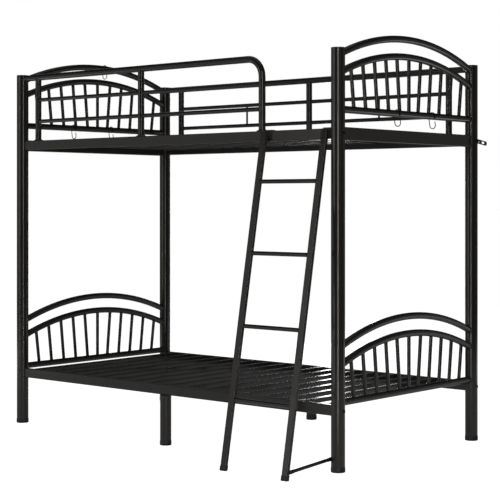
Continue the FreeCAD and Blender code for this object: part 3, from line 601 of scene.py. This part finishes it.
# %% [markdown]
# ## Weld beads
# The panels, decks, guards and ladder are welded before they are painted. A bead of metal runs
# round each joint, a few millimetres wide, with a ripple for each little step of the torch. To
# model one as it is made, a circle the size of the tube is placed around it, pressed along the
# tube onto its neighbour with a Shrinkwrap modifier, and made into a curve, whose bevel gives
# the bead its thickness and whose points swell and shrink in turn. The real ripples are finer,
# and are drawn at two and a half millimetres.

# %% Weld bead helpers
RIPPLE_MM = 2.5
RIPPLE_SWELL = 0.13
RIPPLE_UNEVEN = 0.05
TORCH_SEED = 11
torch = random.Random(TORCH_SEED)


def thickened(line, bead):
    """Turn the mesh line in hand into a rippled bead of this radius in mm."""
    bpy.ops.object.transform_apply(location=True, rotation=True, scale=True)
    bpy.ops.object.convert(target="CURVE")
    curve = line.data
    curve.bevel_depth = bead * MM
    curve.bevel_resolution = 0
    curve.use_fill_caps = True
    for number, point in enumerate(curve.splines[0].points):
        swell = RIPPLE_SWELL if number % 2 else -RIPPLE_SWELL
        point.radius = 1 + swell + torch.uniform(-RIPPLE_UNEVEN, RIPPLE_UNEVEN)
    bpy.ops.object.convert(target="MESH")
    return bpy.context.object


def press_onto(outline, node):
    """Push an outline along its own Z axis until it lies on a CAD piece."""
    press = outline.modifiers.new("press_onto_neighbour", "SHRINKWRAP")
    press.target = frame["nodes"][node]
    press.wrap_method = "PROJECT"
    press.use_project_z = True
    bpy.ops.object.modifier_apply(modifier=press.name)


def ring_bead(place, heading, radius, bead, onto=None):
    """A bead round a tube's end; it is pressed along heading onto a CAD piece."""
    start_fresh()
    count = 2 * round(math.pi * radius / RIPPLE_MM)
    bpy.ops.mesh.primitive_circle_add(vertices=count, radius=radius * MM, location=place,
                                      rotation=heading.to_track_quat("Z", "Y").to_euler())
    ring = bpy.context.object
    if onto:
        press_onto(ring, onto)
    return thickened(ring, bead)


def line_bead(points, bead):
    """A bead along a line of points in metres, drawn by extruding a single vertex."""
    start_fresh()
    bpy.ops.mesh.primitive_plane_add(size=MM, location=points[0])
    bpy.ops.object.mode_set(mode="EDIT")
    bpy.ops.mesh.select_all(action="SELECT")
    bpy.ops.mesh.merge(type="CENTER")
    for start, end in zip(points, points[1:]):
        steps = max(1, round((end - start).length / (RIPPLE_MM * MM)))
        for _ in range(steps):
            bpy.ops.mesh.extrude_region_move(
                TRANSFORM_OT_translate={"value": (end - start) / steps})
    bpy.ops.object.mode_set(mode="OBJECT")
    return thickened(bpy.context.object, bead)


def joined(beads, name, body):
    """Join beads into one piece, with its faces outwards and its finish on."""
    start_fresh()
    for bead in beads:
        bead.select_set(True)
    bpy.context.view_layer.objects.active = beads[0]
    bpy.ops.object.join()
    piece = bpy.context.object
    piece.name = name
    bpy.ops.object.mode_set(mode="EDIT")
    bpy.ops.mesh.select_all(action="SELECT")
    bpy.ops.mesh.normals_make_consistent(inside=False)
    bpy.ops.object.mode_set(mode="OBJECT")
    bpy.ops.object.shade_smooth()
    paint(piece, WELD_COAT)
    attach(piece, body)
    print(name, "beads:", len(beads), "faces:", len(piece.data.polygons))


# %% [markdown]
# An end panel has its welds where the two arches and the base tube meet the posts, and at both
# ends of every spindle. The arches meet the posts on a slant, so their rings are turned to the
# arc's own direction there.

# %% End panel welds
FRAME_RADIUS = 15.0
ARCH_RADIUS = 1293.0
ARCH_STEP = 75.0
PANELS = {"upper": (1794.0, 1472.0), "lower": (601.0, 280.0)}
SPINDLE_RADIUS = 8.0
SPINDLE_FOOT = 69.0
SPINDLE_HEAD = 91.0
SPINDLE_PITCH = 82.0
SPINDLES_EACH_SIDE = 5
BEAD_STANDOFF = 12.0
POST_BEAD = 2.2
SPINDLE_BEAD = 1.5
AXIS_X = Vector((1, 0, 0))
AXIS_Y = Vector((0, 1, 0))
AXIS_Z = Vector((0, 0, 1))


def arch_height(apex, y):
    """The height of an arch's middle line at a distance from the bed's middle."""
    return apex - ARCH_RADIUS + math.sqrt(ARCH_RADIUS ** 2 - y ** 2)


def panel_beads(level, end):
    """Every bead of one end panel."""
    apex, base = PANELS[level]
    x = -POST_X if end == "left" else POST_X
    panel = level + "_" + end + "_"
    beads = []
    reach = POST_Y - POST_RADIUS - BEAD_STANDOFF
    for way, side in ((-1, "front"), (1, "back")):
        post = "post_" + side + "_" + end
        beads.append(ring_bead(at(x, way * reach, base), way * AXIS_Y, FRAME_RADIUS,
                               POST_BEAD, post))
        slant = Vector((0, way, -reach / math.sqrt(ARCH_RADIUS ** 2 - reach ** 2)))
        for arch_apex in (apex, apex - ARCH_STEP):
            centre = at(x, way * reach, arch_height(arch_apex, reach))
            beads.append(ring_bead(centre, slant, FRAME_RADIUS, POST_BEAD, post))
    for number in range(-SPINDLES_EACH_SIDE, SPINDLES_EACH_SIDE + 1):
        way = (number > 0) - (number < 0)
        foot = way * (SPINDLE_FOOT + (abs(number) - 1) * SPINDLE_PITCH)
        head = way * (SPINDLE_HEAD + (abs(number) - 1) * SPINDLE_PITCH)
        low = at(x, foot, base)
        high = at(x, head, arch_height(apex - ARCH_STEP, head))
        middle = (low + high) / 2
        beads.append(ring_bead(middle, high - low, SPINDLE_RADIUS, SPINDLE_BEAD,
                               panel + "inner_arch"))
        beads.append(ring_bead(middle, low - high, SPINDLE_RADIUS, SPINDLE_BEAD,
                               panel + "base_tube"))
    return beads


for level in PANELS:
    for end in ("left", "right"):
        joined(panel_beads(level, end), level + "_" + end + "_panel_welds", "bed")

# %% [markdown]
# The guard rails' stiles are as thick as the rail that they hold, so their beads are saddles
# that nearly close at the sides. The circle is made a hair smaller than the tube there, since
# a circle of exactly the same width would slip past the rail instead of landing on it.

# %% Guard welds
GUARD_TOP = 1704.0
PLATE_TOP = 1398.0
GUARD_MIDDLE = 1550.0
GUARD_END_X = 578.0
GUARD_FEET = {"front": (-863.0, -149.0, GUARD_END_X), "back": (-858.0, 31.0, 860.0)}
GUARD_SIDES = {"front": -POST_Y, "back": POST_Y}
THIN_RAILS = {"front": (1593.5, 1488.5), "back": (1597.5, 1492.5)}
THIN_RADIUS = 9.5
ROD_RADIUS = 5.0
RODS_X = (-383.0, 462.0)
SADDLE_FIT = 0.985
GUARD_BEAD = 1.9
ROD_BEAD = 1.1


def guard_beads(side):
    """Every bead of one guard: its stiles, thin rails and ends at the posts."""
    y = GUARD_SIDES[side]
    rail, stiles = side + "_guard_rail", side + "_guard_stiles"
    feet = GUARD_FEET[side]
    post_reach = POST_X - POST_RADIUS - BEAD_STANDOFF
    beads = [ring_bead(at(-post_reach, y, GUARD_TOP), -AXIS_X, FRAME_RADIUS, GUARD_BEAD,
                       "post_" + side + "_left")]
    if side == "back":
        beads.append(ring_bead(at(post_reach, y, GUARD_TOP), AXIS_X, FRAME_RADIUS, GUARD_BEAD,
                               "post_back_right"))
    for x in feet:
        if x != GUARD_END_X:
            beads.append(ring_bead(at(x, y, GUARD_MIDDLE), AXIS_Z, SADDLE_FIT * FRAME_RADIUS,
                                   GUARD_BEAD, rail))
        beads.append(ring_bead(at(x, y, PLATE_TOP), AXIS_Z, FRAME_RADIUS, GUARD_BEAD))
    for z in THIN_RAILS[side]:
        for start, end in zip(feet, feet[1:]):
            middle = at((start + end) / 2, y, z)
            beads.append(ring_bead(middle, -AXIS_X, THIN_RADIUS, SPINDLE_BEAD, stiles))
            landing = rail if end == GUARD_END_X else stiles
            beads.append(ring_bead(middle, AXIS_X, THIN_RADIUS, SPINDLE_BEAD, landing))
    return beads


joined(guard_beads("front"), "front_guard_welds", "bed")
back_beads = guard_beads("back")
for x in RODS_X:
    middle = at(x, POST_Y, sum(THIN_RAILS["back"]) / 2)
    for heading in (AXIS_Z, -AXIS_Z):
        back_beads.append(ring_bead(middle, heading, ROD_RADIUS, ROD_BEAD,
                                    "back_guard_thin_rails"))
joined(back_beads, "back_guard_welds", "bed")

# %% [markdown]
# The slats are flat tubes that butt against the side rails. The welder runs down one side,
# along the underside and up the other, and leaves the top clean for the mattress. One such
# bead is drawn and then copied to both ends of every slat.

# %% Slat welds
SLAT_COUNT = 17
SLAT_PITCH = 112.0
SLAT_WIDTH = 25.0
SLAT_HEIGHT = 20.0
SLAT_TOP_GAP = 2.5
RAIL_HALF = 10.0
DECK_TOPS = {"upper": 1395.0, "lower": 271.0}
SLAT_BEAD = 1.5


def slat_bead(x, y, top):
    """A bead down one side of a slat's end, along its underside and up the other side."""
    left, right = x - SLAT_WIDTH / 2, x + SLAT_WIDTH / 2
    high, low = top - SLAT_TOP_GAP, top - SLAT_HEIGHT
    return line_bead([at(left, y, high), at(left, y, low), at(right, y, low),
                      at(right, y, high)], SLAT_BEAD)


for deck, top in DECK_TOPS.items():
    first_x = -(SLAT_COUNT - 1) / 2 * SLAT_PITCH
    first = slat_bead(first_x, -POST_Y + RAIL_HALF, top)
    beads = [first]
    for number in range(SLAT_COUNT):
        for across in (0, 2 * (POST_Y - RAIL_HALF)):
            if number or across:
                copy = first.copy()
                copy.data = first.data.copy()
                bpy.context.scene.collection.objects.link(copy)
                copy.location = Vector((number * SLAT_PITCH, across, 0)) * MM
                beads.append(copy)
    joined(beads, deck + "_slat_welds", "bed")

# %% [markdown]
# The last welds are round the deep end beams where they meet the posts, round the discs on top
# of the middle legs, round both ends of every rung, and beside the ladder's two saddles. The
# ladder's beads ride with the ladder.

# %% Beam, leg and ladder welds
BEAM_WIDTH = 25.0
BEAM_MIDDLE = 1373.0
BEAM_HEIGHT = 54.0
BEAM_CORNER = 3.0
BEAM_CORNER_SEGMENTS = 2
BEAM_CUTS = 5
LEG_TOP = 223.0
LEG_BEAD_INSET = 0.5
RUNG_RADIUS = 9.0
RUNGS_Z = (285.0, 583.0, 882.0, 1180.0)
HOOK_WELD_HEIGHTS = (1390.0, 1372.0)
HOOK_WELD_YS = (-519.3, -520.3)
HOOK_WELD_INSET = 1.0


def beam_bead(end, side):
    """A bead round the end of a rectangular beam, pressed onto its post."""
    x = -POST_X if end == "left" else POST_X
    way = -1 if side == "front" else 1
    place = at(x, way * (POST_Y - POST_RADIUS - BEAD_STANDOFF), BEAM_MIDDLE)
    start_fresh()
    bpy.ops.mesh.primitive_plane_add(size=1, location=place,
                                     rotation=(math.radians(-90 * way), 0, 0))
    outline = bpy.context.object
    outline.scale = (BEAM_WIDTH * MM, BEAM_HEIGHT * MM, 1)
    bpy.ops.object.transform_apply(location=False, rotation=False, scale=True)
    bpy.ops.object.mode_set(mode="EDIT")
    bpy.ops.mesh.select_all(action="SELECT")
    bpy.ops.mesh.bevel(offset=BEAM_CORNER * MM, segments=BEAM_CORNER_SEGMENTS,
                       affect="VERTICES")
    bpy.ops.mesh.delete(type="ONLY_FACE")
    bpy.ops.mesh.select_all(action="SELECT")
    bpy.ops.mesh.subdivide(number_cuts=BEAM_CUTS)
    bpy.ops.object.mode_set(mode="OBJECT")
    press_onto(outline, "post_" + side + "_" + end)
    return thickened(outline, GUARD_BEAD)


beam_beads = [beam_bead(end, side) for end in ("left", "right") for side in ("front", "back")]
joined(beam_beads, "end_beam_welds", "bed")
leg_beads = [ring_bead(Vector((axis.x, axis.y, at(0, 0, LEG_TOP).z)), AXIS_Z,
                       LEG_RADIUS - LEG_BEAD_INSET, SPINDLE_BEAD)
             for axis in (FRONT_LEG_AXIS, BACK_LEG_AXIS)]
joined(leg_beads, "middle_leg_welds", "bed")
ladder_beads = []
for z in RUNGS_Z:
    for x, way in ((STILES_X["left"], 1), (STILES_X["right"], -1)):
        face = x + way * STILE_WIDTH / 2
        ladder_beads.append(ring_bead(at(face, stile_y(z), z), AXIS_X, RUNG_RADIUS,
                                      SPINDLE_BEAD))
for x in STILES_X.values():
    for way in (-1, 1):
        edge = x + way * (STILE_WIDTH / 2 - HOOK_WELD_INSET)
        line = [at(edge, y, z) for y, z in zip(HOOK_WELD_YS, HOOK_WELD_HEIGHTS)]
        ladder_beads.append(line_bead(line, GUARD_BEAD))
joined(ladder_beads, "ladder_welds", "ladder")

# %% [markdown]
# The finished bed must not be larger than the CAD model, because the CAD size is the real
# size. The CAD model's box is written down here.

# %% The CAD model's size
print("CAD box:", [round(value, 4) for corner in cad_box for value in corner])
